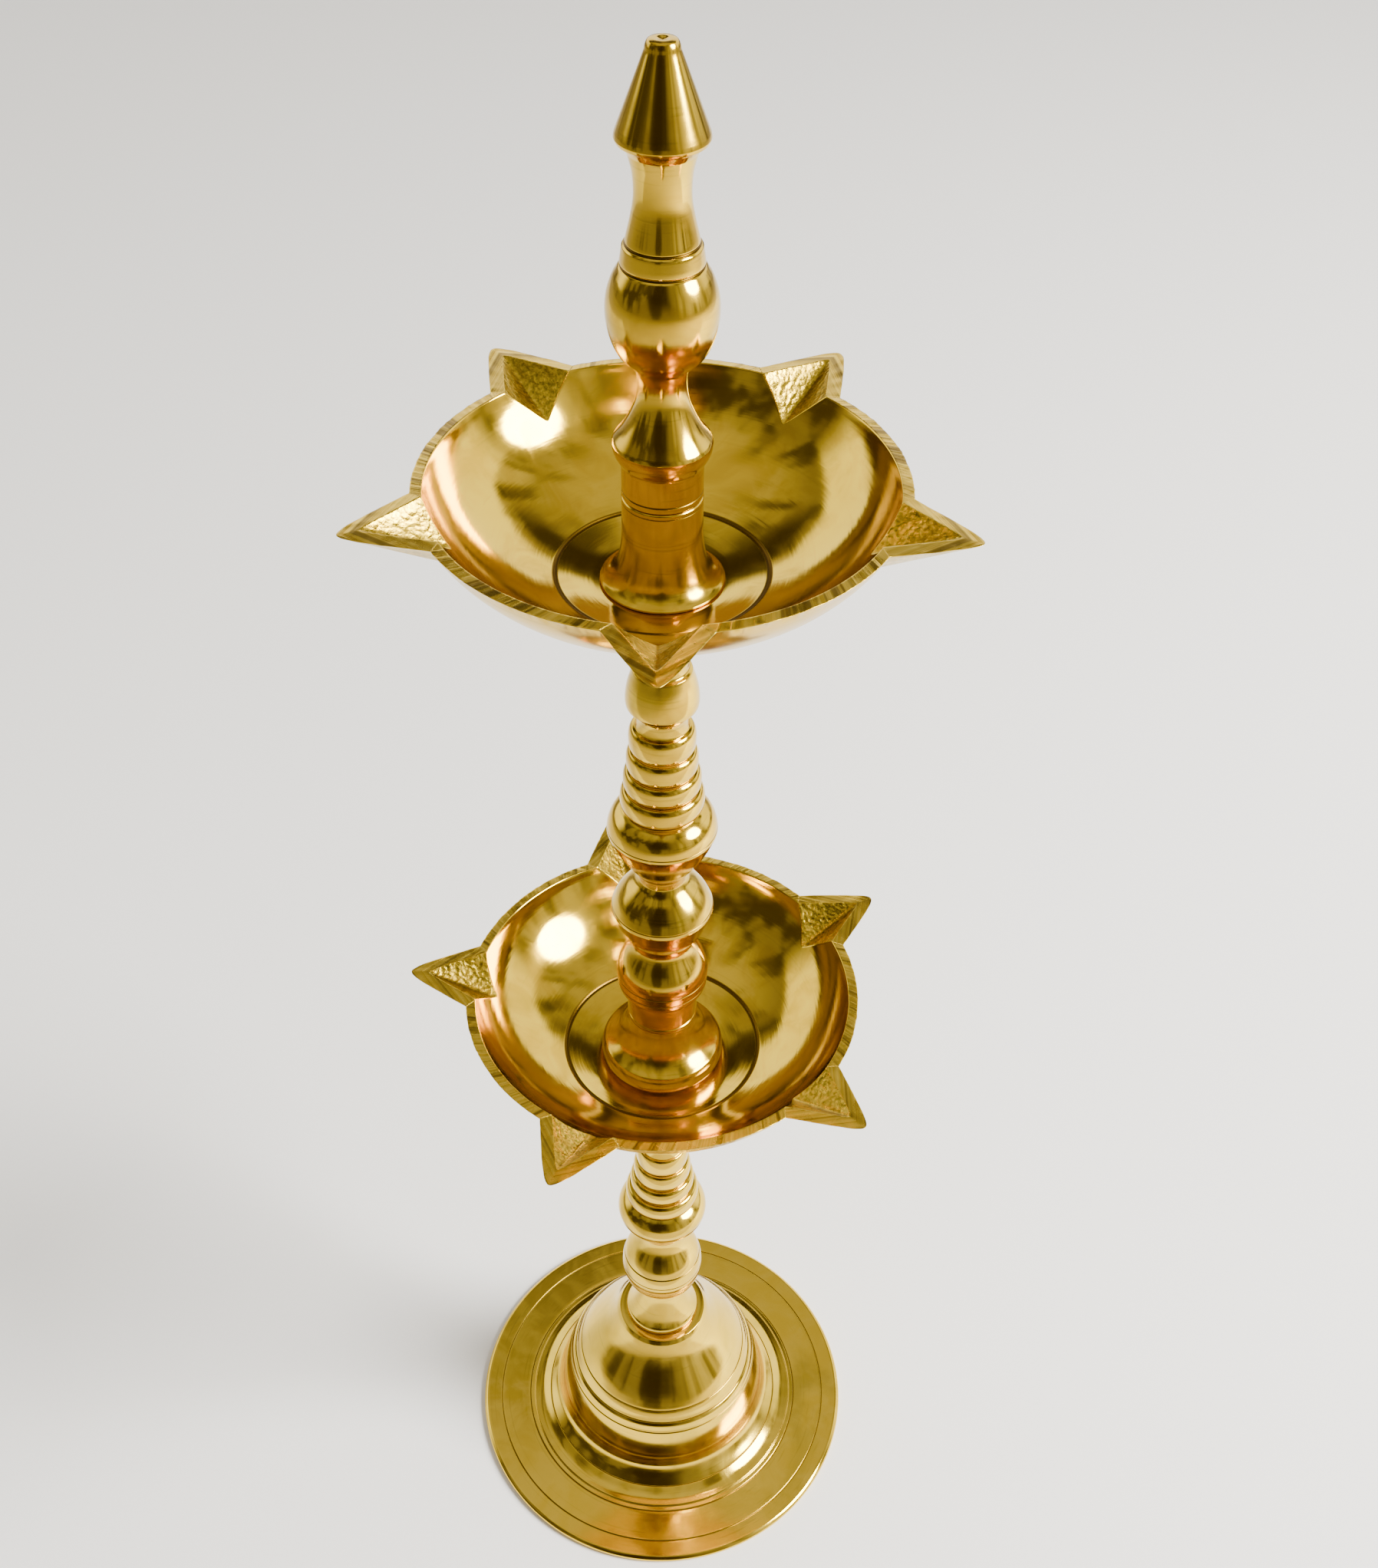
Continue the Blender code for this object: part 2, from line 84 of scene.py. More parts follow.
class Outline:
    # half of a turned piece's section: radius and height in mm, from the bottom up its outside
    def __init__(self, radius, height):
        self.points = [(radius, height)]
        self.scores = []

    def to(self, radius, height):
        self.points.append((radius, height))
        return self

    def through(self, *points):
        # a smooth curve through the points, from where the outline is
        knots = np.array([self.points[-1], *points], float)
        gaps = np.sqrt(np.linalg.norm(np.diff(knots, axis=0), axis=1))
        when = np.concatenate(([0.0], np.cumsum(gaps)))
        slope = np.gradient(knots, when, axis=0, edge_order=1)
        for k in range(len(knots) - 1):
            gap = gaps[k]
            for t in np.linspace(0, 1, 17)[1:]:
                a = (1 + 2 * t) * (1 - t) ** 2
                b = t * (1 - t) ** 2 * gap
                c = t * t * (3 - 2 * t)
                d = t * t * (t - 1) * gap
                here = a * knots[k] + b * slope[k] + c * knots[k + 1] + d * slope[k + 1]
                self.points.append(tuple(here))
        return self

    def swell(self, radius, height, bulge):
        # a round stretch that stands out by the bulge at its middle
        r0, z0 = self.points[-1]
        chord = Vector((radius - r0, height - z0))
        side = Vector((chord.y, -chord.x)).normalized()
        for t in np.linspace(0, 1, 21)[1:]:
            out = side * 4 * bulge * t * (1 - t)
            self.points.append((r0 + chord.x * t + out.x, z0 + chord.y * t + out.y))
        return self

    def bead(self, edge, root, height, power=2.0):
        # a rounded ring that rises from here to its edge and returns to the root
        r0, z0 = self.points[-1]
        for t in np.linspace(-1, 1, 31)[1:]:
            start = r0 if t < 0 else root
            out = (1 - abs(t) ** power) ** (1 / power)
            self.points.append((start + (edge - start) * out, z0 + height * (t + 1) / 2))
        return self

    def score(self, width=0.16, depth=0.12):
        # a line scored into the surface here
        self.scores.append((len(self.points) - 1, width, depth))
        return self

    def rows(self, soften, turn=6.0, reach=1.4):
        # the finished section: points close together where it bends, and how sunk each one is
        fineStep = 0.03       # mm along the section
        hollowReach = 1.1     # how far to each side a hollow is judged over, mm
        hollowFull = 0.55     # a hollow this deep holds all the grime it can, mm
        scoreFull = 0.07      # the same for a scored line
        path = np.array(self.points, float)
        length = np.concatenate(([0.0], np.cumsum(np.linalg.norm(np.diff(path, axis=0), axis=1))))
        at = np.linspace(0, length[-1], int(length[-1] / fineStep) + 2)
        line = rounded(path, soften, at)
        way = np.gradient(line, at, axis=0)
        way /= np.maximum(np.linalg.norm(way, axis=1), 1e-9)[:, None]
        sunk = np.zeros(len(at))
        for index, width, depth in self.scores:
            sunk += depth * np.exp(-((at - length[index]) / width) ** 2)
        line[:, 0] -= way[:, 1] * sunk
        line[:, 1] += way[:, 0] * sunk
        way = np.gradient(line, at, axis=0)
        angle = np.unwrap(np.arctan2(way[:, 1], way[:, 0]))
        effort = np.abs(np.diff(angle)) / math.radians(turn) + np.diff(at) / reach
        effort = np.concatenate(([0.0], np.cumsum(effort)))
        count = int(effort[-1]) + 2
        pick = np.interp(np.linspace(0, effort[-1], count), effort, at)
        window = int(hollowReach / fineStep)
        kernel = np.hanning(2 * window + 1)
        kernel /= kernel.sum()
        wide = np.convolve(np.pad(line[:, 0], window, mode="edge"), kernel, mode="valid")
        hollow = np.clip((wide - line[:, 0]) / hollowFull, 0, 1) + np.clip(sunk / scoreFull, 0, 1)
        section = np.stack([np.interp(pick, at, line[:, 0]), np.interp(pick, at, line[:, 1])], axis=1)
        return section, np.clip(np.interp(pick, at, hollow), 0, 1)


def makeMesh(name, points, faces, attributes, materials, faceFinish=None):
    mesh = bpy.data.meshes.new(name)
    mesh.from_pydata((np.asarray(points) * mm).tolist(), [], faces)
    for key, values in attributes.items():
        layer = mesh.attributes.new(key, "FLOAT", "POINT")
        layer.data.foreach_set("value", np.asarray(values, np.float32))
    for material in materials:
        mesh.materials.append(material)
    if faceFinish is not None:
        mesh.polygons.foreach_set("material_index", np.asarray(faceFinish, np.int32))
    mesh.polygons.foreach_set("use_smooth", np.ones(len(mesh.polygons), bool))
    mesh.validate()
    piece = bpy.data.objects.new(name, mesh)
    bpy.context.scene.collection.objects.link(piece)
    return piece


def gridFaces(columns, rows, closedRows=False):
    # quads of a grid that closes round its columns; point index is column * rows + row
    faces = []
    last = rows if closedRows else rows - 1
    for c in range(columns):
        d = (c + 1) % columns
        for r in range(last):
            s = (r + 1) % rows
            faces.append((c * rows + r, d * rows + r, d * rows + s, c * rows + s))
    return faces


def turnPiece(name, outline, base, material, soften=0.12, around=144, closed=True, turn=6.0, reach=1.4):
    # spins an outline once round the upright axis
    section, hollow = outline.rows(soften, turn, reach)
    angle = np.linspace(0, 2 * math.pi, around, endpoint=False)
    radius = np.tile(section[:, 0], around)
    height = np.tile(section[:, 1], around) + base
    turned = np.repeat(angle, len(section))
    points = np.stack([radius * np.cos(turned), radius * np.sin(turned), height], axis=1)
    faces = gridFaces(around, len(section), closed)
    return makeMesh(name, points, faces, {"grime": np.tile(hollow, around)}, [material])


def fit(piece, body, slot, *nodes):
    # the piece moves with its body and stands for its nodes
    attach(piece, body)
    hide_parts(*nodes)
    print("made", piece.name, len(piece.data.polygons), "faces")
    return piece


class Wire:
    # one value in a node tree; sums on it add Math nodes
    def __init__(self, bench, socket):
        self.bench = bench
        self.socket = socket

    def sum(self, operation, first, second):
        return self.bench.node("ShaderNodeMath", {"operation": operation}, {0: first, 1: second})

    def __add__(self, other):
        return self.sum("ADD", self, other)

    def __radd__(self, other):
        return self.sum("ADD", other, self)

    def __sub__(self, other):
        return self.sum("SUBTRACT", self, other)

    def __rsub__(self, other):
        return self.sum("SUBTRACT", other, self)

    def __mul__(self, other):
        return self.sum("MULTIPLY", self, other)

    def __rmul__(self, other):
        return self.sum("MULTIPLY", other, self)

    def __pow__(self, other):
        return self.sum("POWER", self, other)


class Bench:
    # adds nodes to one node tree
    def __init__(self, tree):
        self.tree = tree

    def node(self, kind, settings=None, inputs=None, output=0):
        made = self.tree.nodes.new(kind)
        for key, value in (settings or {}).items():
            setattr(made, key, value)
        for key, value in (inputs or {}).items():
            self.plug(made.inputs[key], value)
        return Wire(self, made.outputs[output])

    def plug(self, socket, value):
        if isinstance(value, Wire):
            self.tree.links.new(value.socket, socket)
        else:
            socket.default_value = value

    def blend(self, share, first, second):
        return self.node("ShaderNodeMix", {"data_type": "RGBA"}, {0: share, 6: first, 7: second}, 2)

    def ramp(self, value, low, high, start=0.0, end=1.0):
        # smooth change from start to end while the value goes from low to high
        return self.node("ShaderNodeMapRange", {"interpolation_type": "SMOOTHSTEP"},
                         {0: value, 1: low, 2: high, 3: start, 4: end})

    def band(self, value, low, lowFull, highFull, high):
        # 1 inside a band of values, with soft ends
        return self.ramp(value, low, lowFull) * (1 - self.ramp(value, highFull, high))

    def speckle(self, place, scale, detail=2.0, rough=0.5, distortion=0.0):
        return self.node("ShaderNodeTexNoise", None,
                         {"Vector": place, "Scale": scale, "Detail": detail, "Roughness": rough,
                          "Distortion": distortion})

    def join(self, x, y, z):
        return self.node("ShaderNodeCombineXYZ", None, {0: x, 1: y, 2: z})


class Finish(Bench):
    def __init__(self, name):
        self.material = bpy.data.materials.new(name)
        self.material.use_nodes = True
        super().__init__(self.material.node_tree)
        self.shader = self.tree.nodes["Principled BSDF"]
        self.place = self.node("ShaderNodeTexCoord", output="Object")
        self.x = self.node("ShaderNodeSeparateXYZ", None, {0: self.place}, 0)
        self.y = self.node("ShaderNodeSeparateXYZ", None, {0: self.place}, 1)
        self.z = self.node("ShaderNodeSeparateXYZ", None, {0: self.place}, 2)
        self.radius = (self.x * self.x + self.y * self.y) ** 0.5

    def attribute(self, name):
        return self.node("ShaderNodeAttribute", {"attribute_name": name}, None, "Fac")

    def bump(self, height, depth, below=None):
        inputs = {"Strength": 1.0, "Distance": depth, "Height": height}
        if below is not None:
            inputs["Normal"] = below
        return self.node("ShaderNodeBump", None, inputs)

    def finish(self, colour, roughness, normal, metallic=1.0):
        self.plug(self.shader.inputs["Base Color"], colour)
        self.plug(self.shader.inputs["Roughness"], roughness)
        self.plug(self.shader.inputs["Metallic"], metallic)
        self.plug(self.shader.inputs["Normal"], normal)
        return self.material

    def brushed(self, amount):
        # scratches run round the axis, so a highlight spreads up and down
        self.shader.inputs["Anisotropic"].default_value = amount
        self.shader.inputs["Anisotropic Rotation"].default_value = 0.25


brassTones = {
    "gold": (0.73, 0.485, 0.034, 1.0),
    "deep": (0.61, 0.382, 0.020, 1.0),
    "olive": (0.31, 0.225, 0.016, 1.0),
    "brown": (0.090, 0.046, 0.004, 1.0),
    "pale": (0.80, 0.55, 0.055, 1.0),
}


def polishedBrass(name, look):
    f = Finish(name)
    drift = (f.x + f.y) * 0.05
    rings = f.join(f.radius, f.z, drift)
    fine = f.speckle(rings, look["fineLines"], 2.0, 0.6)
    broad = f.speckle(rings, look["broadLines"], 2.0, 0.5)
    cloud = f.speckle(f.place, look["cloudScale"], 4.0, 0.55, 0.6)
    smear = f.speckle(f.place, 95.0, 3.0, 0.6, 1.2)
    grime = f.attribute("grime")
    stained = f.ramp(cloud, 0.50, 0.74, 0.0, look["stain"])
    colour = f.blend(f.ramp(smear, 0.35, 0.7), look["tone"], look["second"])
    colour = f.blend(stained, colour, brassTones["olive"])
    lines = f.ramp(broad, 0.60, 0.72, 0.0, look["lineStain"])
    colour = f.blend(lines, colour, brassTones["olive"])
    sunk = f.ramp(grime * (0.75 + 0.5 * cloud), 0.12, 0.85, 0.0, look["grime"])
    colour = f.blend(sunk, colour, brassTones["brown"])
    rough = look["gloss"] + f.ramp(smear, 0.4, 0.75, 0.0, 0.07) + sunk * 0.25 + stained * 0.10
    normal = f.bump(fine, look["fineDepth"])
    normal = f.bump(broad, look["broadDepth"], normal)
    f.brushed(look["brushed"])
    return f.finish(colour, rough, normal)


def filedBrass(name, look):
    # flats cut with a file: stripes run along the stroke; their pale and deep tones are painted highlight
    # and shade, as if each stripe caught the light singly
    f = Finish(name)
    marks = f.attribute("marks")
    across = f.join(marks, f.z * 12.0, 0.0)
    strokes = f.speckle(across, look["strokes"], 3.0, 0.65)
    cuts = f.speckle(across, look["strokes"] * 0.28, 2.0, 0.6)
    cloud = f.speckle(f.place, 140.0, 3.0, 0.6)
    # painted highlight and shade: the stripes of the strokes are coloured between deep and pale brass
    colour = f.blend(f.ramp(strokes, 0.3, 0.66), brassTones["deep"], look["tone"])
    # painted shade: the deeper cuts are darkened towards brown by the shade amount
    shade = f.ramp(cuts, 0.52, 0.66, 0.0, look["shade"])
    colour = f.blend(shade, colour, brassTones["brown"])
    rough = look["gloss"] + f.ramp(cloud, 0.3, 0.7, 0.0, 0.14)
    normal = f.bump(strokes, look["depth"])
    normal = f.bump(cuts, look["depth"] * 2.2, normal)
    return f.finish(colour, rough, normal)


def castBrass(name, look):
    # rough as it left the sand mould
    f = Finish(name)
    grain = f.speckle(f.place, look["grain"], 4.0, 0.62)
    lumps = f.speckle(f.place, look["grain"] * 0.32, 2.0, 0.5)
    pits = f.node("ShaderNodeTexVoronoi", None, {"Vector": f.place, "Scale": look["grain"] * 0.8},
                  "Distance")
    grime = f.attribute("grime")
    cloud = f.speckle(f.place, 160.0, 3.0, 0.6)
    colour = f.blend(f.ramp(grain, 0.32, 0.68), brassTones["olive"], look["tone"])
    dark = f.ramp(grime * 0.8 + cloud * 0.5, 0.35, 1.1, 0.0, look["grime"])
    colour = f.blend(dark, colour, brassTones["brown"])
    rough = look["gloss"] + f.ramp(cloud, 0.3, 0.7, 0.0, 0.16)
    normal = f.bump(grain, look["depth"])
    normal = f.bump(lumps, look["depth"] * 2.0, normal)
    normal = f.bump(pits, look["depth"] * 0.8, normal)
    return f.finish(colour, rough, normal)


def zincSteel(name, look):
    f = Finish(name)
    spangle = f.speckle(f.place, 420.0, 3.0, 0.6)
    grime = f.attribute("grime")
    scratch = f.speckle(f.join(f.radius * 3.0, f.z * 3.0, f.x), 900.0, 3.0, 0.7)
    colour = f.blend(f.ramp(spangle, 0.3, 0.7), look["tone"], look["second"])
    colour = f.blend(f.ramp(grime, 0.2, 1.0, 0.0, 0.7), colour, look["stain"])
    rough = look["gloss"] + f.ramp(spangle, 0.3, 0.7, 0.0, 0.12)
    return f.finish(colour, rough, f.bump(scratch, look["depth"]))


def fibre(name, look):
    f = Finish(name)
    threads = f.speckle(f.place, 2600.0, 4.0, 0.7)
    wet = f.speckle(f.place, 150.0, 3.0, 0.6)
    colour = f.blend(f.ramp(threads, 0.3, 0.7), look["tone"], look["second"])
    colour = f.blend(f.ramp(wet, 0.45, 0.7, 0.0, 0.6), colour, look["stain"])
    return f.finish(colour, look["gloss"] + 0.1 * wet, f.bump(threads, look["depth"]), 0.0)


footSettings = {
    "flange": 50.0, "height": 44.2, "thickness": 2.2, "hole": 3.3, "roof": 35.0,
    "finish": {"tone": brassTones["gold"], "second": brassTones["pale"], "stain": 0.45, "lineStain": 0.25,
               "grime": 0.85, "gloss": 0.10, "fineLines": 7000.0, "broadLines": 1500.0,
               "fineDepth": 1.2e-6, "broadDepth": 1.6e-6, "cloudScale": 42.0, "brushed": 0.45},
}


def makeFoot(s):
    edge, thick = s["flange"], s["thickness"]
    line = Outline(s["hole"], s["height"])
    line.to(s["hole"], s["roof"])
    line.to(15.0, s["roof"])
    line.through((18.8, 30.0), (22.6, 22.0), (24.4, 12.0), (25.6, 5.0), (29.0, 1.6), (34.0, 0.5))
    line.to(38.0, 0.05)
    line.to(edge - 0.9, 0.05)
    line.swell(edge - 0.9, thick - 0.1, 0.9)
    line.to(45.0, thick - 0.05).score(0.13, 0.13)
    line.to(37.0, thick + 0.05).score(0.14, 0.12)
    line.to(35.9, thick + 0.15)
    line.to(35.7, thick + 0.5).score(0.12, 0.10)
    line.through((33.6, 3.1), (31.2, 4.4))
    line.score(0.12, 0.09)
    line.through((28.9, 6.4), (27.6, 8.4), (27.1, 10.2))
    line.through((27.1, 12.5), (26.7, 15.5), (25.9, 19.0), (25.1, 21.6))
    line.score(0.14, 0.16)
    line.through((24.75, 22.3), (24.3, 23.6), (23.6, 24.4))
    line.score(0.14, 0.16)
    line.through((23.2, 25.1), (22.7, 26.3), (22.0, 27.5))
    line.score(0.14, 0.16)
    line.through((20.2, 30.4), (17.4, 34.2), (14.6, 38.0), (12.9, 40.9), (11.9, 43.0))
    line.to(11.2, s["height"] - 0.15)
    line.to(10.2, s["height"])
    brass = polishedBrass("footBrass", s["finish"])
    piece = turnPiece("foot_bell", line, baseHeight("foot"), brass, 0.10, 200, True, 5.0, 1.6)
    return fit(piece, "foot", "foot", "foot")


lowerStemSettings = {
    "hole": 3.3, "seat": 10.7, "grip": 14.0,
    "finish": {"tone": brassTones["gold"], "second": brassTones["pale"], "stain": 0.45, "lineStain": 0.3,
               "grime": 0.9, "gloss": 0.10, "fineLines": 7000.0, "broadLines": 1700.0,
               "fineDepth": 1.4e-6, "broadDepth": 2.0e-6, "cloudScale": 60.0, "brushed": 0.6},
}

upperStemSettings = {
    "hole": 3.3, "seat": 10.7, "grip": 14.0,
    "finish": {"tone": brassTones["gold"], "second": brassTones["deep"], "stain": 0.55, "lineStain": 0.4,
               "grime": 0.9, "gloss": 0.10, "fineLines": 7000.0, "broadLines": 1700.0,
               "fineDepth": 1.6e-6, "broadDepth": 2.4e-6, "cloudScale": 60.0, "brushed": 0.6},
}


def stemEnd(hole, grip, radius):
    line = Outline(hole, grip)
    line.to(hole, 0.4)
    line.to(hole + 0.4, 0.0)
    line.to(radius - 0.25, 0.0)
    line.to(radius, 0.25)
    return line


def seatEnd(line, top, s):
    # the thin neck and the flared seat that carries a bowl
    line.through((5.0, top - 16.5), (4.9, top - 13.5), (5.2, top - 10.0), (6.2, top - 6.2),
                 (8.4, top - 3.2), (10.2, top - 2.1))
    line.to(s["seat"], top - 1.8)
    line.to(s["seat"], top - 0.3)
    line.to(s["seat"] - 0.3, top)
    line.to(s["hole"] + 0.4, top)
    line.to(s["hole"], top - 0.4)
    line.to(s["hole"], top - s["grip"])
    return line


def makeLowerStem(s):
    base = baseHeight("lower_stem")
    top = topHeight("lower_stem") - base + seam
    line = stemEnd(s["hole"], s["grip"], 9.3)
    line.to(9.35, 0.9)
    line.swell(8.9, 1.9, 0.1)
    line.through((7.9, 3.6), (6.6, 6.4), (5.6, 9.3), (5.3, 11.6), (5.45, 13.0))
    line.to(5.9, 13.7)
    line.through((7.6, 14.6), (9.1, 16.6), (9.9, 19.3))
    line.score(0.10, 0.09)
    line.through((10.15, 20.6), (10.2, 21.4), (10.15, 22.4))
    line.score(0.10, 0.09)
    line.through((10.0, 24.0), (9.6, 25.7))
    line.score(0.16, 0.18)
    line.through((9.1, 27.2), (7.9, 29.2), (6.3, 31.6), (5.45, 33.6), (5.3, 35.2), (5.6, 37.0))
    line.through((6.6, 39.2), (8.3, 41.4), (10.1, 43.4), (10.75, 44.6))
    line.score(0.10, 0.10)
    line.through((10.9, 45.6), (10.9, 46.6), (10.4, 48.2), (9.3, 49.7), (8.1, 50.6))
    line.bead(8.9, 7.3, 4.9, 2.3)
    line.bead(7.8, 6.4, 4.6, 2.3)
    line.bead(6.95, 5.8, 5.2, 2.3)
    line.bead(6.3, 5.2, 5.8, 2.3)
    line.through((4.95, 72.9), (5.05, 74.6), (5.7, 75.8))
    line.to(6.3, 76.2)
    line.to(6.9, 76.6)
    line.through((7.05, 77.6), (6.9, 79.8), (6.3, 82.6), (5.5, 85.6))
    seatEnd(line, top, s)
    brass = polishedBrass("lowerStemBrass", s["finish"])
    piece = turnPiece("lower_stem_turned", line, base - seam, brass, 0.10, 128)
    return fit(piece, "lower_stem", "lower_stem", "lower_stem")


def makeUpperStem(s):
    base = baseHeight("upper_stem")
    top = topHeight("upper_stem") - base + seam
    line = stemEnd(s["hole"], s["grip"], 7.6)
    line.to(7.6, 6.2)
    line.to(7.9, 6.6)
    line.through((8.9, 7.6), (9.5, 8.8), (9.75, 10.2))
    line.score(0.10, 0.12)
    line.to(9.85, 12.4).score(0.10, 0.12)
    line.through((9.8, 13.6), (9.3, 15.6), (8.2, 17.9), (6.9, 20.0), (6.25, 21.5), (6.2, 22.6))
    line.to(6.5, 23.1)
    line.through((7.9, 25.0), (9.4, 28.1), (10.4, 31.3))
    line.to(10.75, 32.4)
    line.to(10.6, 33.3).score(0.10, 0.10)
    line.through((9.4, 35.8), (7.6, 38.1), (5.6, 39.9), (4.95, 41.0))
    line.to(5.0, 42.2)
    line.through((5.6, 43.4), (5.9, 44.2))
    line.to(6.2, 44.6)
    line.through((7.6, 46.8), (9.6, 50.6), (10.9, 53.8))
    line.to(11.25, 54.9)
    line.to(11.2, 55.6).score(0.09, 0.09)
    line.through((10.9, 57.0), (10.0, 58.9), (8.6, 60.2), (7.6, 60.8))
    line.bead(8.5, 7.0, 5.2, 2.3)
    line.bead(7.8, 6.4, 4.9, 2.3)
    line.bead(7.15, 5.9, 5.2, 2.3)
    line.bead(6.65, 5.3, 5.8, 2.3)
    line.through((5.1, 82.6), (5.05, 84.0), (5.4, 85.6), (6.1, 86.7))
    line.to(6.6, 87.0)
    line.to(7.0, 87.3)
    line.through((7.15, 88.3), (7.05, 90.2), (6.6, 92.6), (5.7, 95.6))
    seatEnd(line, top, s)
    brass = polishedBrass("upperStemBrass", s["finish"])
    piece = turnPiece("upper_stem_turned", line, base - seam, brass, 0.10, 128)
    return fit(piece, "upper_stem", "upper_stem", "upper_stem")


finialSettings = {
    "hole": 3.3, "grip": 14.0, "barrel": 7.1,
    "finish": {"tone": brassTones["gold"], "second": brassTones["deep"], "stain": 0.5, "lineStain": 0.3,
               "grime": 0.9, "gloss": 0.11, "fineLines": 7000.0, "broadLines": 1600.0,
               "fineDepth": 1.6e-6, "broadDepth": 2.2e-6, "cloudScale": 55.0, "brushed": 0.6},
}


def makeFinial(s):
    base = baseHeight("finial")
    top = topHeight("finial") - base + seam
    line = stemEnd(s["hole"], s["grip"], s["barrel"])
    line.to(s["barrel"], 1.3).score(0.12, 0.12)
    line.to(s["barrel"], 6.3)
    line.to(7.3, 6.7).score(0.09, 0.06)
    line.through((7.9, 7.7), (8.35, 8.7), (8.55, 9.5))
    line.to(8.6, 10.5)
    line.to(8.35, 11.1)
    line.through((7.0, 12.9), (5.6, 15.5), (4.6, 18.2), (4.2, 20.6), (4.2, 22.6), (4.5, 24.2))
    line.to(5.0, 24.8)
    line.to(5.5, 25.2)
    line.through((7.2, 27.0), (8.6, 30.0), (9.25, 33.6), (9.1, 37.0), (8.1, 40.2), (7.1, 41.9))
    line.to(6.7, 42.3).score(0.14, 0.16)
    line.to(6.85, 42.8)
    line.to(6.45, 45.4)
    line.to(6.0, 45.9).score(0.16, 0.22)
    line.through((5.85, 46.6), (5.2, 49.4), (4.65, 52.4), (4.55, 54.6), (4.8, 57.4), (5.5, 60.2))
    line.to(6.2, 61.3)
    line.to(7.2, 61.9)
    line.to(7.45, 62.5)
    line.to(7.3, 63.2)
    line.to(2.75, top - 1.6)
    line.through((2.62, top - 0.9), (2.25, top - 0.25), (1.6, top - 0.05))
    line.through((1.0, top - 0.05), (0.5, top - 0.25))
    line.to(0.02, top - 0.35)
    brass = polishedBrass("finialBrass", s["finish"])
    piece = turnPiece("finial_turned", line, base - seam, brass, 0.10, 128, False)
    return fit(piece, "finial", "finial", "finial")


collarSettings = {
    "hole": 3.3,
    "upper": {"tone": brassTones["gold"], "second": brassTones["deep"], "stain": 0.5, "lineStain": 0.3,
              "grime": 0.9, "gloss": 0.14, "fineLines": 6000.0, "broadLines": 1500.0,
              "fineDepth": 1.8e-6, "broadDepth": 2.4e-6, "cloudScale": 60.0, "brushed": 0.6},
    "lower": {"tone": brassTones["gold"], "second": brassTones["deep"], "stain": 0.4, "lineStain": 0.3,
              "grime": 0.9, "gloss": 0.12, "fineLines": 6000.0, "broadLines": 1500.0,
              "fineDepth": 1.6e-6, "broadDepth": 2.2e-6, "cloudScale": 60.0, "brushed": 0.6},
}


def makeCollars(s):
    base = baseHeight("upper_collar")
    top = topHeight("upper_collar") - base + seam
    line = stemEnd(s["hole"], top, 11.2)
    line.to(11.15, 0.5)
    line.through((10.3, 0.95), (9.3, 1.85), (8.4, 3.2), (7.75, 5.2), (7.35, 7.8), (7.15, 10.8))
    line.to(7.1, top - 2.1)
    line.to(7.1, top - 1.0).score(0.10, 0.06)
    line.to(7.15, top - 0.25)
    line.to(6.9, top)
    line.to(s["hole"] + 0.3, top)
    brass = polishedBrass("upperCollarBrass", s["upper"])
    piece = turnPiece("upper_collar_turned", line, base - seam, brass, 0.12, 128)
    fit(piece, "upper_collar", "upper_collar", "upper_collar")

    base = baseHeight("lower_collar")
    top = topHeight("lower_collar") - base + seam
    line = stemEnd(s["hole"], top, 13.1)
    line.through((13.45, 1.2), (13.55, 2.6), (13.35, 3.9), (12.8, 4.75))
    line.through((11.5, 5.6), (10.0, 6.9), (8.8, 8.7), (8.0, 10.8), (7.65, 12.6))
    line.to(7.6, top - 0.9).score(0.10, 0.06)
    line.to(7.6, top - 0.25)
    line.to(7.35, top)
    line.to(s["hole"] + 0.3, top)
    brass = polishedBrass("lowerCollarBrass", s["lower"])
    piece = turnPiece("lower_collar_turned", line, base - seam, brass, 0.12, 128)
    fit(piece, "lower_collar", "lower_collar", "lower_collar")


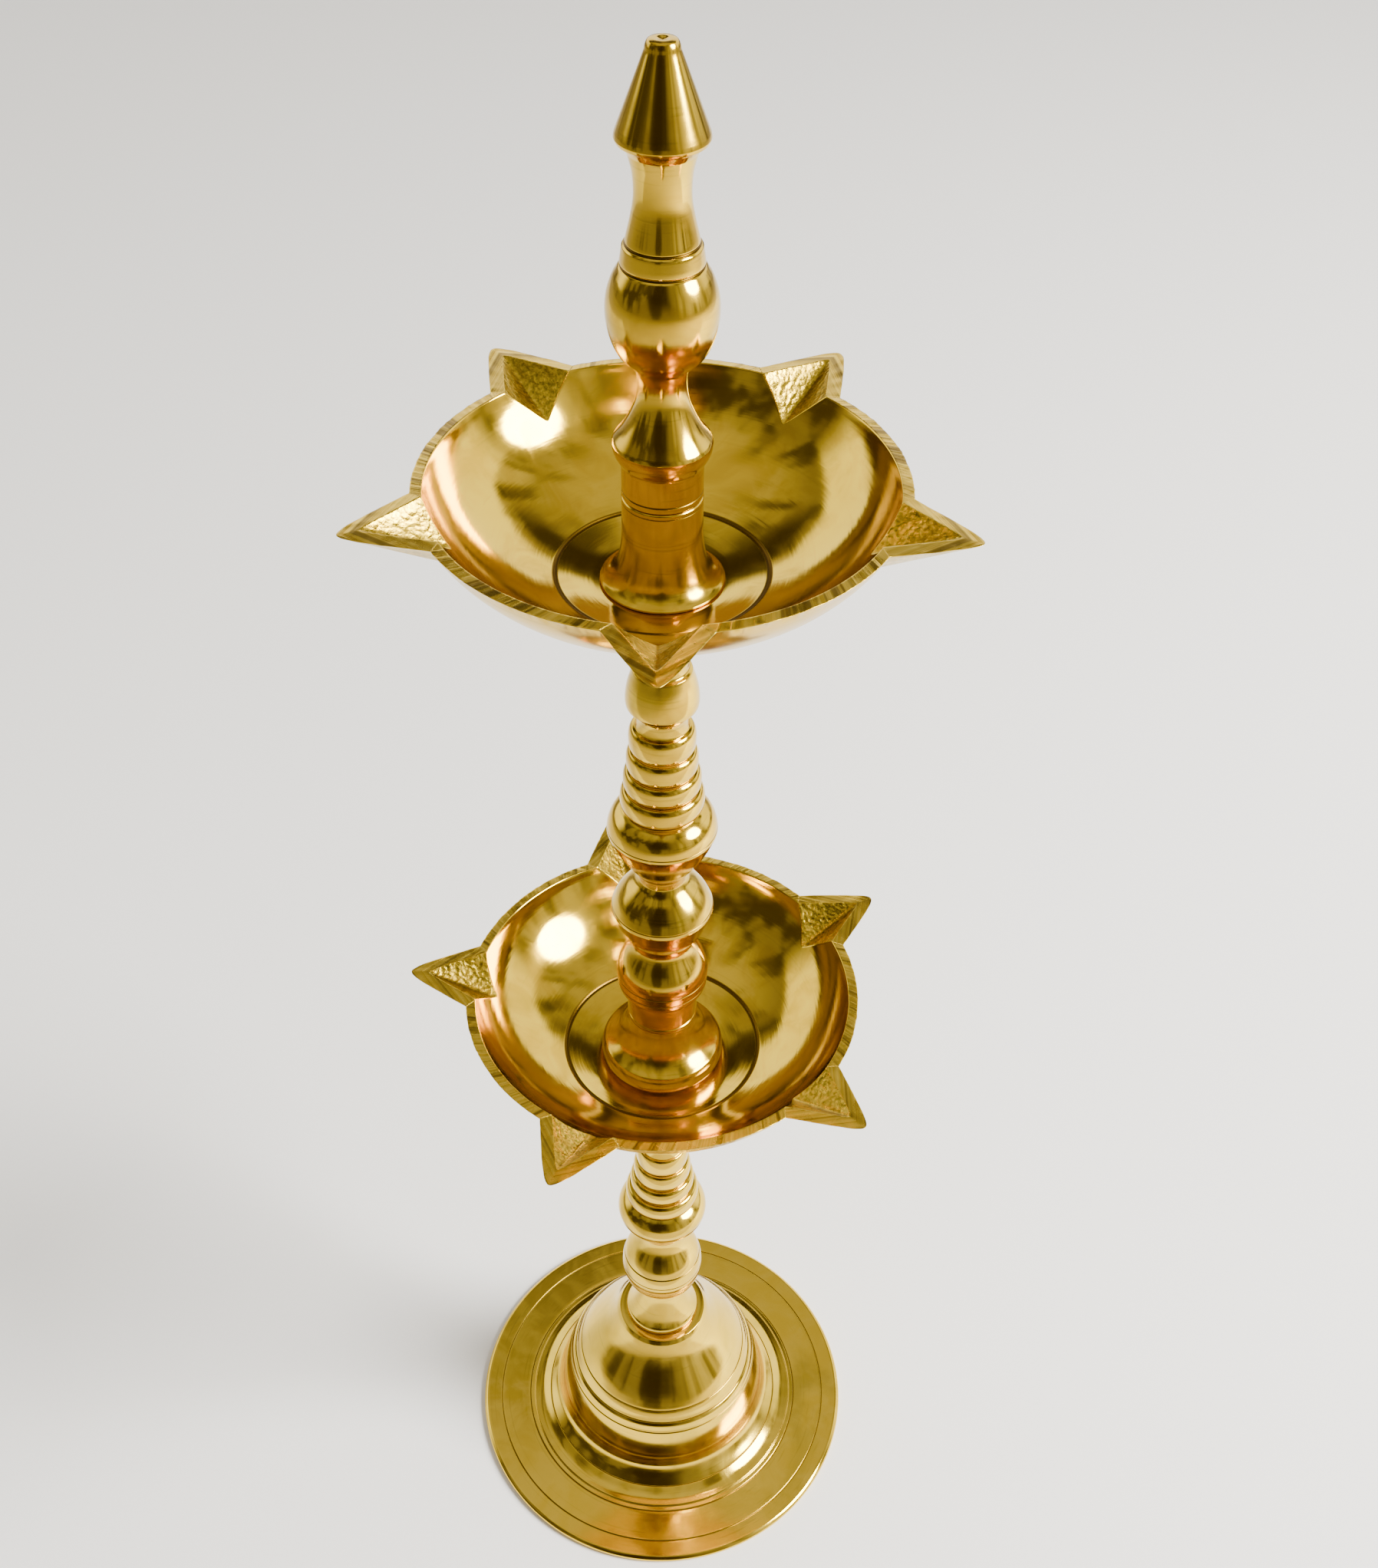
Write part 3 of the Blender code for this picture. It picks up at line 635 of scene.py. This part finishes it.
bowlSettings = {
    "rim": 41.0, "land": 2.1, "landDrop": 0.22, "depth": 20.4, "inPower": 2.1, "outPower": 1.95,
    "rise": 8.0, "floor": 2.0, "inSink": 0.8, "outSink": 0.2, "hole": 3.3, "spouts": 5,
    "channelHalf": 6.9, "channelTip": 52.0, "channelRound": 0.07, "sag": 0.25,
    "notch": 7.0, "notchRound": 0.05, "keel": 11.6, "keelRound": 0.07, "keelTuck": 0.35,
    "spoutHalf": 9.0, "spoutTip": 56.0, "spoutRound": 0.20, "floorEdge": 17.0, "flatEdge": 12.0,
    "plainColumns": 128, "spoutColumns": 72, "soften": 0.16,
    "notchRows": 8, "channelRows": 20, "landRows": 8, "sideRows": 12, "outsideRows": 24,
    "scoreShape": ((-0.34, 0.0), (-0.2, 0.05), (-0.09, 0.14), (0.0, 0.17), (0.09, 0.14), (0.2, 0.05),
                   (0.34, 0.0)),
    "lump": 0.16, "pimple": 0.10, "ripple": 0.10, "wander": 0.12,    # unevenness, mm
    "upper": {"first": 53.0, "score": 19.1, "seed": 3},
    "lower": {"first": 30.2, "score": 21.6, "seed": 8},
    "inside": {"tone": brassTones["gold"], "second": brassTones["deep"], "stain": 0.25, "lineStain": 0.12,
               "grime": 0.95, "gloss": 0.08, "fineLines": 6500.0, "broadLines": 1500.0,
               "fineDepth": 2.0e-6, "broadDepth": 9.0e-6, "cloudScale": 30.0, "brushed": 0.0},
    "outside": {"tone": brassTones["deep"], "second": brassTones["gold"], "stain": 0.5, "lineStain": 0.3,
                "grime": 0.9, "gloss": 0.17, "fineLines": 5200.0, "broadLines": 1100.0,
                "fineDepth": 2.4e-6, "broadDepth": 4.0e-6, "cloudScale": 40.0, "brushed": 0.3},
    "filed": {"tone": brassTones["pale"], "shade": 0.75, "gloss": 0.20, "strokes": 1.5, "depth": 6.0e-5},
    "cast": {"tone": brassTones["gold"], "grime": 0.85, "gloss": 0.20, "grain": 1300.0, "depth": 1.0e-4},
    "castSide": {"tone": brassTones["gold"], "grime": 0.85, "gloss": 0.20, "grain": 1300.0,
                 "depth": 2.2e-5},
}


class Dish:
    # a dish-shaped surface: its widest level would be a little above its rim
    def __init__(self, radius, depth, power, rise):
        self.deep = depth + rise
        self.power = power
        self.rise = rise
        self.widest = radius / (1 - (rise / self.deep) ** power) ** (1 / power)

    def radius(self, drop):
        share = min(max((drop + self.rise) / self.deep, 0.0), 1.0)
        return self.widest * (1 - share ** self.power) ** (1 / self.power)

    def drop(self, radius):
        share = min(max(radius / self.widest, 0.0), 1.0)
        return self.deep * (1 - share ** self.power) ** (1 / self.power) - self.rise


def softAbs(value, ease):
    return np.sqrt(value * value + ease * ease) / math.sqrt(1 + ease * ease)


def closeEnds(count):
    # shares from 0 to 1, closer together at both ends
    return (1 - np.cos(np.linspace(0, math.pi, count + 1))) / 2


def unevenRing(angle, waves, seed):
    # a smooth uneven value in -1..1 round the ring
    return noise.noise(Vector((math.cos(angle) * waves, math.sin(angle) * waves, seed)))


def unevenFlat(point, waves, seed):
    return noise.noise(Vector((point[0] * waves, point[1] * waves, seed)))


def tipReach(value, root, tip, ease):
    # how far out a spout's edge lies: at its root for -1 and 1, at its rounded tip for 0
    atTip = softAbs(0.0, ease)
    reach = (tip - root * atTip) / (1 - atTip)
    return reach - (reach - root) * softAbs(value, ease)


def spoutPlan(value, s, inside, outer):
    # where one line over a spout crosses the rim's edges, and how low its notch and keel are
    y = s["channelHalf"] * value
    channelRoot = math.sqrt(s["rim"] ** 2 - s["channelHalf"] ** 2)
    spoutRoot = math.sqrt(outer ** 2 - s["spoutHalf"] ** 2)
    landIn = (tipReach(value, channelRoot, s["channelTip"], s["channelRound"]), y)
    landOut = (tipReach(value, spoutRoot, s["spoutTip"], s["spoutRound"]), s["spoutHalf"] * value)
    notchDrop = s["notch"] * (1 - softAbs(value, s["notchRound"]))
    keelDrop = s["keel"] * (1 - softAbs(value, s["keelRound"]))
    azimuthIn = math.asin(y / inside.radius(notchDrop))
    rootOut = math.asin(s["spoutHalf"] / outer)
    azimuthOut = rootOut * value * (1 - s["keelTuck"] * (1 - abs(value)))
    return azimuthIn, azimuthOut, np.array(landIn), np.array(landOut), notchDrop, keelDrop


def rimPlan(share, s, outer, gap):
    # the same for a line over the plain rim between two spouts
    rootIn = math.asin(s["channelHalf"] / s["rim"])
    rootOut = math.asin(s["spoutHalf"] / outer)
    azimuthIn = rootIn + (gap - 2 * rootIn) * share
    azimuthOut = rootOut + (gap - 2 * rootOut) * share
    landIn = s["rim"] * np.array([math.cos(azimuthIn), math.sin(azimuthIn)])
    landOut = outer * np.array([math.cos(azimuthOut), math.sin(azimuthOut)])
    return azimuthIn, azimuthOut, landIn, landOut, 0.0, 0.0


def floorRows(s, inside, scoreAt, lowest):
    # radius and drop of the inside below the notches, and which rows lie in the scored line
    hole = s["hole"]
    rows = [(hole, s["depth"] + 0.6), (hole, s["depth"] + 0.05), (hole + 0.5, s["depth"])]
    for r in np.linspace(hole + 4, scoreAt - 0.6, 7):
        rows.append((r, min(inside.drop(r), s["depth"])))
    first = len(rows)
    for shift, sink in s["scoreShape"]:
        rows.append((scoreAt + shift, inside.drop(scoreAt + shift) + sink))
    scored = range(first, len(rows))
    fromDrop = inside.drop(scoreAt + 0.7)
    for drop in fromDrop + (lowest - fromDrop) * np.linspace(0, 1, 17) ** 0.8:
        rows.append((inside.radius(drop), float(drop)))
    return rows, scored


def bowlLine(plan, tipness, turnTo, index, own, s, inner, scored, inside, outside):
    # one line over the bowl: up the inside, over the rim and down the outside
    azimuthIn, azimuthOut, landIn, landOut, notchDrop, keelDrop = plan
    around = Vector((math.cos(azimuthIn), math.sin(azimuthIn)))
    outward = Vector((math.cos(azimuthOut), math.sin(azimuthOut)))
    seed = own["seed"]
    rimAngle = turnTo + azimuthOut
    uneven = unevenRing(rimAngle, 46.0, seed) * s["ripple"] + unevenRing(rimAngle, 12.0, seed) * s["wander"]
    landOut = landOut * (1 + uneven / np.linalg.norm(landOut))
    landTilt = -s["landDrop"] + unevenRing(rimAngle, 30.0, seed + 5) * s["ripple"]

    line = [(r * around.x, r * around.y, -d) for r, d in inner]
    lowest = inner[-1][1]
    for drop in lowest + (notchDrop - lowest) * closeEnds(s["notchRows"])[1:]:
        r = inside.radius(drop)
        line.append((r * around.x, r * around.y, -drop))
    grime = [1.0 if row in scored else 0.0 for row in range(len(line))]

    start = np.array(line[-1])
    stop = np.array([landIn[0], landIn[1], 0.0])
    length = np.linalg.norm(stop - start)
    for t in closeEnds(s["channelRows"])[1:]:
        point = start + (stop - start) * t
        dip = s["sag"] * math.sin(math.pi * t) * min(1.0, length / 6.0)
        lumps = unevenFlat(point, 1.1, seed * 7.0 + index) * s["lump"]
        pimples = unevenFlat(point, 3.1, seed * 5.0 + index) * s["pimple"]
        calm = math.sin(math.pi * min(t, 0.5)) * min(1.0, length / 4.0)
        point[2] -= dip - (lumps + pimples) * calm * (1.0 - 0.75 * t)
        line.append(tuple(point))
        grime.append(0.55 * tipness * calm)

    for t in closeEnds(s["landRows"])[1:]:
        flat = landIn + (landOut - landIn) * t
        line.append((flat[0], flat[1], landTilt * t))
    edge = np.array(line[-1])
    keelRadius = outside.radius(keelDrop + s["landDrop"])
    startDrop = keelDrop + s["landDrop"] * 1.5
    keel = np.array([keelRadius * outward.x, keelRadius * outward.y, -startDrop])
    for t in closeEnds(s["sideRows"])[1:]:
        line.append(tuple(edge + (keel - edge) * t))
    endDrop = outside.drop(s["floorEdge"])
    for t in np.linspace(0, 1, s["outsideRows"] - 3)[1:]:
        drop = startDrop + (endDrop - startDrop) * t ** 0.75
        r = outside.radius(drop)
        line.append((r * outward.x, r * outward.y, -drop))
    under = s["depth"] + s["floor"]
    for r, drop in ((s["flatEdge"], under), (s["hole"] + 0.5, under), (s["hole"], under - 0.6)):
        line.append((r * outward.x, r * outward.y, -drop))
    grime += [0.0] * (len(line) - len(grime))

    path = np.array(line)
    step = np.linalg.norm(np.diff(path, axis=0), axis=1)
    along = np.concatenate(([0.0], np.cumsum(step)))
    return rounded(path, s["soften"], along), grime


def fileMarks(path, side, s):
    # a length along the rim at each point, so that the file's strokes lie across it
    if side != 0:
        return path[:, 0] * 0.75 + path[:, 1] * 0.66 * side
    angle = np.arctan2(path[:, 1], path[:, 0])
    radius = np.hypot(path[:, 0], path[:, 1])
    return angle * s["rim"] + 0.45 * (radius - s["rim"])


def makeBowl(level, s):
    own = s[level]
    node = level + "_bowl"
    rim = topHeight(node)
    outer = s["rim"] + s["land"]
    inside = Dish(s["rim"], s["depth"] + s["inSink"], s["inPower"], s["rise"])
    outside = Dish(outer, s["depth"] + s["floor"] + s["outSink"], s["outPower"], s["rise"])
    gap = 2 * math.pi / s["spouts"]
    inner, scored = floorRows(s, inside, own["score"], s["notch"] + 0.5)

    # every line over one spout, then over the plain rim up to the next: tipness, side, plan
    share = np.linspace(-1, 1, s["spoutColumns"] + 1)
    plans = []
    for value in np.sign(share) * np.abs(share) ** 1.25:
        plans.append((1 - abs(value), 1 if value > 0 else -1, spoutPlan(value, s, inside, outer)))
    for value in np.linspace(0, 1, s["plainColumns"] + 1)[1:-1]:
        plans.append((0.0, 0, rimPlan(value, s, outer, gap)))

    columns = []
    grime = []
    marks = []
    for index in range(s["spouts"]):
        turnTo = math.radians(own["first"]) + gap * index
        cosT = math.cos(turnTo)
        sinT = math.sin(turnTo)
        for tipness, side, plan in plans:
            path, sunk = bowlLine(plan, tipness, turnTo, index, own, s, inner, scored, inside, outside)
            columns.append(np.stack([path[:, 0] * cosT - path[:, 1] * sinT,
                                     path[:, 0] * sinT + path[:, 1] * cosT, path[:, 2] + rim], axis=1))
            grime.append(sunk)
            marks.append(fileMarks(path, side, s))

    rows = len(columns[0])
    finishes = [
        polishedBrass(level + "BowlInside", s["inside"]),
        castBrass(level + "SpoutCast", s["cast"]),
        filedBrass(level + "RimFiled", s["filed"]),
        polishedBrass(level + "BowlOutside", s["outside"]),
        castBrass(level + "SpoutSide", s["castSide"]),
    ]
    finishOfRow = [0] * (len(inner) + s["notchRows"] - 1) + [1] * s["channelRows"]
    finishOfRow += [2] * s["landRows"] + [4] * s["sideRows"]
    finishOfRow += [3] * (rows - 1 - len(finishOfRow))
    attributes = {"grime": np.concatenate(grime), "marks": np.concatenate(marks)}
    piece = makeMesh(level + "_bowl_spouted", np.concatenate(columns), gridFaces(len(columns), rows),
                     attributes, finishes, np.tile(finishOfRow, len(columns)))
    weld(piece)
    return fit(piece, node, node, node)


def weld(piece):
    solid = bmesh.new()
    solid.from_mesh(piece.data)
    bmesh.ops.remove_doubles(solid, verts=solid.verts, dist=2e-6)
    bmesh.ops.dissolve_degenerate(solid, edges=solid.edges, dist=1e-6)
    bmesh.ops.recalc_face_normals(solid, faces=solid.faces)
    solid.to_mesh(piece.data)
    solid.free()


fasteningSettings = {
    "thread": 3.0, "pitch": 1.0, "threadDepth": 0.38, "threadSlope": 0.42, "endChamfer": 0.55,
    "hole": 3.3, "nutFlat": 5.02, "nutTop": 4.85, "nutCorner": 1.2, "nutChamfer": 0.62,
    "washer": 9.0, "gasket": 9.8,
    "zinc": {"tone": (0.46, 0.46, 0.45, 1), "second": (0.62, 0.61, 0.58, 1),
             "stain": (0.16, 0.12, 0.09, 1), "gloss": 0.26, "depth": 1.0e-5},
    "fibre": {"tone": (0.10, 0.045, 0.02, 1), "second": (0.20, 0.10, 0.05, 1),
              "stain": (0.05, 0.02, 0.01, 1), "gloss": 0.7, "depth": 4.0e-5},
    "brass": {"tone": brassTones["deep"], "second": brassTones["gold"], "stain": 0.5, "lineStain": 0.2,
              "grime": 0.9, "gloss": 0.2, "fineLines": 5000.0, "broadLines": 1500.0,
              "fineDepth": 2.0e-6, "broadDepth": 2.0e-6, "cloudScale": 80.0, "brushed": 0.0},
}


def makeStud(name, node, body, material, s):
    low, high = baseHeight(node), topHeight(node)
    around = 40
    rows = int((high - low) / s["pitch"] * 7)
    heights = np.linspace(low, high, rows)
    points = []
    grime = []
    for a in np.linspace(0, 2 * math.pi, around, endpoint=False):
        turnShare = (heights / s["pitch"] - a / (2 * math.pi)) % 1.0
        groove = np.clip(1.0 - np.abs(turnShare - 0.5) / s["threadSlope"], 0, 1)
        fade = np.clip(np.minimum(heights - low, high - heights) / 0.8, 0, 1)
        radius = s["thread"] - s["threadDepth"] * np.clip(groove * 1.1, 0, 1)
        radius = np.minimum(radius, s["thread"] - s["endChamfer"] * (1 - fade))
        radius[0] = 0.01
        radius[-1] = 0.01
        points.append(np.stack([radius * math.cos(a), radius * math.sin(a), heights], axis=1))
        grime.append(groove * 0.7)
    piece = makeMesh(name, np.concatenate(points), gridFaces(around, rows),
                     {"grime": np.concatenate(grime)}, [material])
    weld(piece)
    return fit(piece, body, node, node)


def makeNut(s, material):
    low, high = baseHeight("foot_nut"), topHeight("foot_nut")
    around = 96
    middle = (low + high) / 2
    hole, inner = s["hole"], s["nutTop"]
    ends = closeEnds(10) * 0.9
    rows = [(hole, low + 0.5), (hole + 0.5, low)]
    rows += [(inner + s["nutCorner"] * t, low + s["nutChamfer"] * t ** 1.2) for t in ends]
    rows += [(6.2, middle - 0.6), (6.2, middle + 0.6)]    # past the corners, so the flats cut them
    rows += [(inner + s["nutCorner"] * t, high - s["nutChamfer"] * t ** 1.2) for t in ends[::-1]]
    rows += [(hole + 0.5, high), (hole, high - 0.5)]
    points = []
    grime = []
    sixth = math.pi / 6
    for a in np.linspace(0, 2 * math.pi, around, endpoint=False):
        nearest = (a + sixth) % (2 * sixth) - sixth
        hexagon = s["nutFlat"] / math.cos(nearest + (sixth if nearest < 0 else -sixth))
        for r, z in rows:
            reach = min(r, hexagon - 0.02)
            points.append((reach * math.cos(a), reach * math.sin(a), z))
            grime.append(0.6 if r < hole + 0.6 else 0.0)
    faces = gridFaces(around, len(rows), True)
    piece = makeMesh("foot_nut_hex", points, faces, {"grime": grime}, [material])
    piece.data.polygons.foreach_set("use_smooth", np.zeros(len(piece.data.polygons), bool))
    return fit(piece, "foot_nut", "foot_nut", "foot_nut")


def makeFastenings(s):
    steel = zincSteel("zincPlate", s["zinc"])
    brass = polishedBrass("studBrass", s["brass"])
    gasketFibre = fibre("gasketFibre", s["fibre"])
    makeStud("foot_stud_thread", "foot_stud", "lower_stem", steel, s)
    makeStud("lower_stud_thread", "lower_stud", "lower_stem", brass, s)
    makeStud("upper_stud_thread", "upper_stud", "upper_stem", brass, s)
    makeNut(s, steel)

    thick = topHeight("foot_washer") - baseHeight("foot_washer")
    line = Outline(s["hole"], thick - 0.1)
    line.to(s["hole"], 0.1)
    line.to(3.5, 0.0)
    line.to(s["washer"] - 0.3, 0.0)
    line.swell(s["washer"] - 0.15, thick, 0.12)
    line.to(3.5, thick)
    fit(turnPiece("foot_washer_flat", line, baseHeight("foot_washer"), steel, 0.06, 96),
        "foot_washer", "foot_washer", "foot_washer")
    for level in ("lower", "upper"):
        node = level + "_gasket"
        thick = topHeight(node) - baseHeight(node)
        line = Outline(s["hole"], thick)
        line.to(s["hole"], 0.0)
        line.to(s["gasket"] - 0.1, 0.0)
        line.swell(s["gasket"] - 0.1, thick, 0.1)
        fit(turnPiece(node + "_fibre", line, baseHeight(node), gasketFibre, 0.05, 96),
            level + "_stem", node, node)


stageSettings = {
    "camera": (0.0, -0.262, 0.470), "pitch": 42.25, "yaw": 1.15, "roll": 0.8, "lens": 41.2,
    "paper": {"tone": (0.90, 0.895, 0.885, 1.0), "edges": (-0.9, -0.10, 0.9, 3.0), "level": 0.0},
    "table": {"tone": (0.50, 0.47, 0.42, 1.0), "edges": (-3.0, -3.0, 3.0, 3.0), "level": -0.0006},
    "window": {"at": (1.25, -0.30, 1.05), "size": (0.75, 0.85), "power": 105.0,
               "colour": (1.0, 0.97, 0.92)},
}


def makeCamera(s):
    data = bpy.data.cameras.new("camera")
    data.lens = s["lens"]
    data.sensor_width = 36.0
    data.sensor_fit = "AUTO"
    data.clip_start = 0.01
    data.clip_end = 20.0
    camera = bpy.data.objects.new("camera", data)
    bpy.context.scene.collection.objects.link(camera)
    turnTo = Matrix.Rotation(math.radians(-s["yaw"]), 4, "Z")
    tilt = Matrix.Rotation(math.radians(90.0 - s["pitch"]), 4, "X")
    roll = Matrix.Rotation(math.radians(s["roll"]), 4, "Z")
    camera.matrix_world = Matrix.Translation(s["camera"]) @ turnTo @ tilt @ roll
    bpy.context.scene.camera = camera


def addLamp(name, s):
    data = bpy.data.lights.new(name, "AREA")
    data.shape = "ELLIPSE"
    data.size, data.size_y = s["size"]
    data.energy = s["power"]
    data.color = s["colour"]
    lamp = bpy.data.objects.new(name, data)
    bpy.context.scene.collection.objects.link(lamp)
    lamp.location = s["at"]
    aim = Vector((0, 0, 0.2)) - lamp.location
    lamp.rotation_euler = aim.to_track_quat("-Z", "Y").to_euler()


def makeFloor(name, s):
    f = Finish(name + "Matt")
    tooth = f.speckle(f.place, 900.0, 3.0, 0.6)
    darker = tuple(c * 0.98 for c in s["tone"][:3]) + (1.0,)
    colour = f.blend(f.ramp(tooth, 0.2, 0.8), s["tone"], darker)
    f.finish(colour, 0.75, f.bump(tooth, 2e-5), 0.0)
    left, front, right, back = s["edges"]
    low = s["level"]
    corners = [(left, front, low), (right, front, low), (right, back, low), (left, back, low)]
    mesh = bpy.data.meshes.new(name)
    mesh.from_pydata(corners, [], [(0, 1, 2, 3)])
    mesh.materials.append(f.material)
    sheet = bpy.data.objects.new(name, mesh)
    bpy.context.scene.collection.objects.link(sheet)


roomSettings = {
    "wall": (0.34, 0.31, 0.26, 1), "ceiling": (0.80, 0.75, 0.66, 1), "curtain": (1.10, 1.05, 0.94, 1),
    "bright": (2.5, 2.45, 2.3, 1), "dark": (0.045, 0.032, 0.018, 1), "backdrop": (0.80, 0.79, 0.77, 1),
    # degrees above the floor, and round from the right
    "ceilingEdge": (34.0, 66.0), "clutterTop": (50.0, 72.0), "curtainTop": (42.0, 60.0),
    "brightBand": (2.0, 7.0, 30.0, 34.0), "darkBand": (35.0, 37.0, 43.0, 47.0),
    "maker": (3.0, 14.0, 44.0, 54.0), "makerAcross": (-125.0, -108.0, -84.0, -66.0),
}


def makeRoom(s):
    # a quiet room round the lamp, as it shows in the metal
    world = bpy.data.worlds.new("room")
    bpy.context.scene.world = world
    world.use_nodes = True
    b = Bench(world.node_tree)
    way = b.node("ShaderNodeTexCoord", output="Generated")
    x, y, z = [b.node("ShaderNodeSeparateXYZ", None, {0: way}, axis) for axis in range(3)]
    elevation = b.node("ShaderNodeMath", {"operation": "ARCSINE"}, {0: z}) * (180 / math.pi)
    azimuth = b.node("ShaderNodeMath", {"operation": "ARCTAN2"}, {0: y, 1: x}) * (180 / math.pi)
    colour = b.blend(b.ramp(elevation, *s["ceilingEdge"]), s["wall"], s["ceiling"])
    clutter = b.speckle(b.join(azimuth * 0.035, elevation * 0.02, 3.0), 1.0, 3.0, 0.6)
    shelves = b.ramp(clutter, 0.48, 0.58) * (1 - b.ramp(elevation, *s["clutterTop"]))
    colour = b.blend(shelves * 0.85, colour, s["dark"])
    folds = b.speckle(b.join(azimuth * 0.07, elevation * 0.004, 0.0), 1.0, 2.0, 0.55)
    right = b.ramp(x, 0.35, 0.75) * (1 - b.ramp(elevation, *s["curtainTop"]))
    colour = b.blend(b.ramp(folds, 0.42, 0.55) * right * 0.9, colour, s["curtain"])
    uneven = elevation + (clutter - 0.5) * 12
    window = b.band(uneven, *s["brightBand"]) * b.ramp(y, 0.0, 0.35)
    colour = b.blend(window * 0.9, colour, s["bright"])
    above = b.band(uneven, *s["darkBand"]) * b.ramp(y, 0.45, 0.62)
    colour = b.blend(above * 0.92, colour, s["dark"])
    maker = b.band(elevation, *s["maker"]) * b.band(azimuth, *s["makerAcross"])
    colour = b.blend(maker * 0.92, colour, s["dark"])
    # the metal shows the room, and the backdrop behind the lamp is plain
    seen = b.node("ShaderNodeLightPath", output="Is Camera Ray")
    colour = b.blend(seen, colour, s["backdrop"])
    background = world.node_tree.nodes["Background"]
    b.plug(background.inputs["Color"], colour)
    b.plug(background.inputs["Strength"], 1.0)


makeFoot(footSettings)
makeLowerStem(lowerStemSettings)
makeUpperStem(upperStemSettings)
makeFinial(finialSettings)
makeCollars(collarSettings)
makeBowl("lower", bowlSettings)
makeBowl("upper", bowlSettings)
makeFastenings(fasteningSettings)
makeCamera(stageSettings)
addLamp("window", stageSettings["window"])
makeFloor("table", stageSettings["table"])
makeFloor("paper", stageSettings["paper"])
makeRoom(roomSettings)
print("stage ready")
